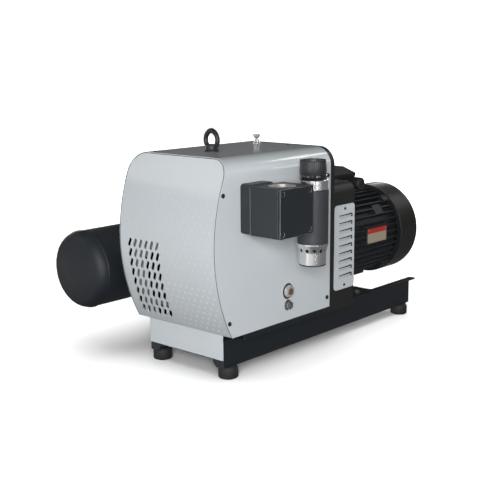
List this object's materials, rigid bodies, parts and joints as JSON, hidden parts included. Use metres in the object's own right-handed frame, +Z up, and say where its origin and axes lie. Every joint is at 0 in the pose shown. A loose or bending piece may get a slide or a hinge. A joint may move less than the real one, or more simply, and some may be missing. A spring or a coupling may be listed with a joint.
{
  "type": "claw vacuum pump",
  "caption": "Claw vacuum pump on a steel base with an arched slotted hood, flange motor, side silencer, inlet box and relief valve.",
  "frame": {"origin": "middle of the four rubber feet, on the floor", "axes": "+Y from the arched front panel towards the motor, +Z up, +X to the side with the inlet box"},
  "size_m": [0.693, 0.994, 0.604],
  "materials": {
    "black_paint": "semi-gloss",
    "cover_paint": "satin",
    "hood_paint": "gloss",
    "motor_paint": "semi-gloss",
    "rubber": "matte",
    "zinc_steel": "bright",
    "dark_screw": "satin",
    "cast_iron": "as cast",
    "machined_steel": "machined",
    "spring_steel": "satin",
    "aluminium": "satin",
    "smoke_plastic": "gloss",
    "black_plastic": "matte",
    "fitting_steel": "dark",
    "oil_glass": "clear",
    "stator_steel": "laminated"
  },
  "bodies": {
    "pump_unit": {"base_frame": "black_paint", "rubber_feet": "rubber", "foot_studs": "zinc_steel", "lower_front_panel": "hood_paint", "hood_rails": "black_paint", "hood_shell": "hood_paint", "hood_front_panel": "hood_paint", "hood_screws": "dark_screw", "rear_cover": "cover_paint", "louvre_plate": "hood_paint", "lifting_eye": "black_paint", "top_knob": "zinc_steel", "pump_casing": "cast_iron", "front_end_plate": "cast_iron", "rear_end_plate": "cast_iron", "pump_bearings": "machined_steel", "gear_case": "cast_iron", "gear_case_cover": "cast_iron", "shaft_seal": "rubber", "oil_sight_fitting": "fitting_steel", "oil_sight_lens": "oil_glass", "oil_drain_plug": "dark_screw", "bell_housing": "cast_iron", "motor_front_shield": "motor_paint", "motor_frame": "motor_paint", "stator": "stator_steel", "motor_bearings": "machined_steel", "motor_rear_shield": "motor_paint", "fan_cowl": "motor_paint", "terminal_box": "motor_paint", "terminal_lid": "motor_paint", "cable_gland": "black_plastic", "silencer_shell": "black_paint", "exhaust_pipe": "black_paint", "silencer_bracket": "black_paint", "inlet_adapter": "black_paint", "inlet_housing": "black_paint", "inlet_cover": "black_paint", "inlet_cover_screws": "dark_screw", "inlet_port_ring": "zinc_steel", "check_valve_spring": "spring_steel", "valve_sleeve": "black_paint", "valve_collar": "aluminium", "valve_intake": "aluminium", "valve_spring": "spring_steel"},
    "drive_train": {"drive_shaft": "machined_steel", "drive_rotor": "machined_steel", "drive_gear": "machined_steel", "cooling_fan": "aluminium", "coupling_hub_pump": "cast_iron", "coupling_spider": "rubber", "coupling_hub_motor": "cast_iron", "motor_rotor": "machined_steel", "motor_fan": "black_plastic"},
    "driven_train": {"driven_shaft": "machined_steel", "driven_rotor": "machined_steel", "driven_gear": "machined_steel"},
    "inlet_check": {"check_valve_disc": "machined_steel"},
    "relief_poppet": {"valve_poppet": "machined_steel"},
    "adjusting_cap": {"valve_cap": "smoke_plastic"}
  },
  "joints": [
    {"name": "drive_spin", "type": "hinge", "parent": "pump_unit", "child": "drive_train", "pos_m": [0, 0, 0.258], "axis": [0, 1, 0], "continuous": true},
    {"name": "driven_spin", "type": "hinge", "parent": "pump_unit", "child": "driven_train", "pos_m": [0, 0, 0.368], "axis": [0, 1, 0], "continuous": true},
    {"name": "check_lift", "type": "slide", "parent": "pump_unit", "child": "inlet_check", "axis": [-1, 0, 0], "range_m": [0, 0.01], "stiffness_N_per_m": 150, "springref_m": -0.01, "deforming": ["check_valve_spring"]},
    {"name": "relief_lift", "type": "slide", "parent": "pump_unit", "child": "relief_poppet", "axis": [0, 0, 1], "range_m": [0, 0.008], "stiffness_N_per_m": 1500, "springref_m": -0.01, "deforming": ["valve_spring"]},
    {"name": "cap_turn", "type": "hinge", "parent": "pump_unit", "child": "adjusting_cap", "pos_m": [0.245, -0.212, 0.4865], "axis": [0, 0, 1], "range_deg": [-180, 180]}
  ],
  "couplings": [
    {"joint": "driven_spin", "follows": "drive_spin", "ratio": -1}
  ]
}
